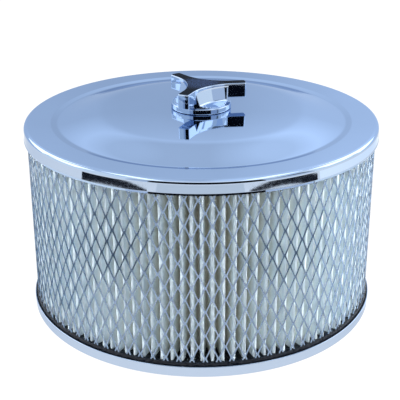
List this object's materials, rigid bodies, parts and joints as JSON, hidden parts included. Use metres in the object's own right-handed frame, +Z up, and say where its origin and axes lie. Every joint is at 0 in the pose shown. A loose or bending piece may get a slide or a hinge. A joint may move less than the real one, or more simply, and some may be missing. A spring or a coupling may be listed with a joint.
{
  "type": "round air cleaner",
  "caption": "Round open-element carburettor air cleaner: chrome lid and base pan, pleated paper element in expanded metal, tri-arm nut on a centre stud.",
  "frame": {"origin": "centre of the base pan's underside, on the surface it rests on", "axes": "+Z up along the centre stud, from the base pan to the nut; +X along the bridge across the throat"},
  "size_m": [0.162, 0.162, 0.1045],
  "materials": {
    "chrome": "polished chrome plate on pressed steel",
    "zinc_steel": "zinc plated",
    "black_rubber": "moulded, satin",
    "black_plastisol": "moulded plastisol, semi-gloss",
    "expanded_metal": "flattened expanded metal, bright",
    "filter_paper": "resin-treated pleated filter paper",
    "brass_insert": "machined"
  },
  "bodies": {
    "base": {"base_pan": "chrome", "throat_sleeve": "zinc_steel", "throat_lining": "black_rubber", "stud_bridge": "zinc_steel", "bridge_rivets": "zinc_steel", "center_stud": "zinc_steel", "stud_lock_nuts": "zinc_steel", "stud_lock_washers": "zinc_steel"},
    "element": {"bottom_end_cap": "black_plastisol", "top_end_cap": "black_plastisol", "outer_mesh": "expanded_metal", "inner_mesh": "expanded_metal", "pleated_paper": "filter_paper", "pleat_seam_clip": "zinc_steel"},
    "lid": {"lid": "chrome"},
    "nut_seal": {"nut_seal_washer": "black_rubber"},
    "nut": {"wing_nut": "chrome", "nut_insert": "brass_insert"}
  },
  "joints": [
    {"name": "element_lift", "type": "slide", "parent": "base", "child": "element", "axis": [0, 0, 1], "range_m": [0, 0.12]},
    {"name": "lid_lift", "type": "slide", "parent": "element", "child": "lid", "axis": [0, 0, 1], "range_m": [0, 0.06]},
    {"name": "nut_rise", "type": "slide", "parent": "lid", "child": "nut_seal", "axis": [0, 0, 1], "range_m": [0, 0.00826]},
    {"name": "nut_spin", "type": "hinge", "parent": "nut_seal", "child": "nut", "pos_m": [0, 0, 0.0934], "axis": [0, 0, 1], "range_deg": [0, 2340]}
  ],
  "couplings": [
    {"joint": "nut_rise", "follows": "nut_spin", "m_per_rad": 0.00020213}
  ]
}
